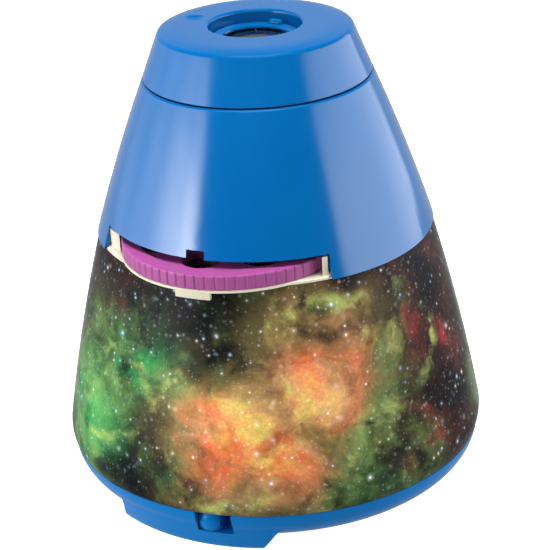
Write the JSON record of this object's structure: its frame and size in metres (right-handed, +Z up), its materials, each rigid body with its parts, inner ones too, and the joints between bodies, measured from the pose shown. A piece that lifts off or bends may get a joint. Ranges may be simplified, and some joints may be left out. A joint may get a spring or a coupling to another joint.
{
  "type": "planetarium projector",
  "caption": "Tapered night-light star projector: turning focus cap over a lens, pull-out picture wheel in a side window, glowing printed shade, slide switch and battery base.",
  "frame": {"origin": "on the surface it stands on, under the axis of the lens", "axes": "+Z up along the lens axis, -Y towards the picture window and the switch, +X to the right seen from that side"},
  "size_m": [0.15, 0.15, 0.166],
  "materials": {
    "blue_shell": "glossy moulded blue plastic",
    "print": "gloss film with a deep-space print",
    "frosted": "frosted white translucent plastic",
    "white_plastic": "white moulded plastic",
    "black_plastic": "black moulded plastic",
    "cream_plastic": "cream moulded plastic",
    "magenta_plastic": "satin magenta moulded plastic",
    "film": "photographic film",
    "clear_lens": "polished clear optic",
    "steel": "zinc plated steel",
    "spring_steel": "spring steel",
    "alu": "stamped aluminium",
    "board": "glass-fibre circuit board",
    "chip": "moulded chip package",
    "lamp": "clear lamp lens",
    "cell": "battery jacket",
    "wire": "wire insulation"
  },
  "bodies": {
    "base": {"base_pan": "blue_shell", "shade": "frosted", "printed_sleeve": "print", "chassis": "white_plastic", "upper_housing": "blue_shell", "lens_guide": "black_plastic", "lamp_bracket": "alu", "lamp_board": "alu", "bracket_screws": "steel", "projector_led": "lamp", "lens_holder": "white_plastic", "condenser_lens": "clear_lens", "main_board": "board", "night_lamps": "lamp", "control_chip": "chip", "resistors": "chip", "capacitor": "cell", "batteries": "cell", "battery_contacts": "steel", "battery_springs": "spring_steel", "slide_switch": "steel", "switch_screws": "steel", "chassis_screws": "steel", "housing_screws": "steel", "guide_screws": "steel", "lamp_leads": "wire", "switch_leads": "wire", "battery_leads": "wire"},
    "tray": {"picture_tray": "cream_plastic", "spindle_screw": "steel", "click_spring": "spring_steel"},
    "wheel": {"picture_wheel": "magenta_plastic", "picture_disc": "film", "disc_clip": "white_plastic"},
    "cap": {"focus_cap": "blue_shell", "cap_clip": "spring_steel"},
    "barrel": {"lens_barrel": "black_plastic", "lens_bezel": "blue_shell", "front_lens": "clear_lens", "rear_lens": "clear_lens", "lens_spacer": "black_plastic", "lens_retainer": "black_plastic"},
    "switch": {"switch_knob": "blue_shell"},
    "door": {"battery_door": "blue_shell"},
    "door_fastener": {"door_screw": "steel"}
  },
  "joints": [
    {"name": "tray_slide", "type": "slide", "parent": "base", "child": "tray", "axis": [0, -1, 0], "range_m": [0, 0.07]},
    {"name": "wheel_spin", "type": "hinge", "parent": "tray", "child": "wheel", "pos_m": [0, -0.0256, 0.096], "axis": [0, 0, 1], "continuous": true},
    {"name": "focus_turn", "type": "hinge", "parent": "base", "child": "cap", "pos_m": [0, 0, 0.15], "axis": [0, 0, 1], "range_deg": [-45, 45]},
    {"name": "barrel_slide", "type": "slide", "parent": "base", "child": "barrel", "axis": [0, 0, 1], "range_m": [-0.0031, 0.0031]},
    {"name": "switch_slide", "type": "slide", "parent": "base", "child": "switch", "axis": [0.9936, 0.1132, 0], "range_m": [0, 0.0046]},
    {"name": "battery_door_drop", "type": "slide", "parent": "base", "child": "door", "axis": [0, 0, -1], "range_m": [0, 0.03]},
    {"name": "door_screw_turn", "type": "hinge", "parent": "door", "child": "door_fastener", "pos_m": [0, -0.028, 0.007], "axis": [0, 0, 1], "continuous": true}
  ],
  "couplings": [
    {"joint": "barrel_slide", "follows": "focus_turn", "m_per_rad": -0.0038197}
  ]
}
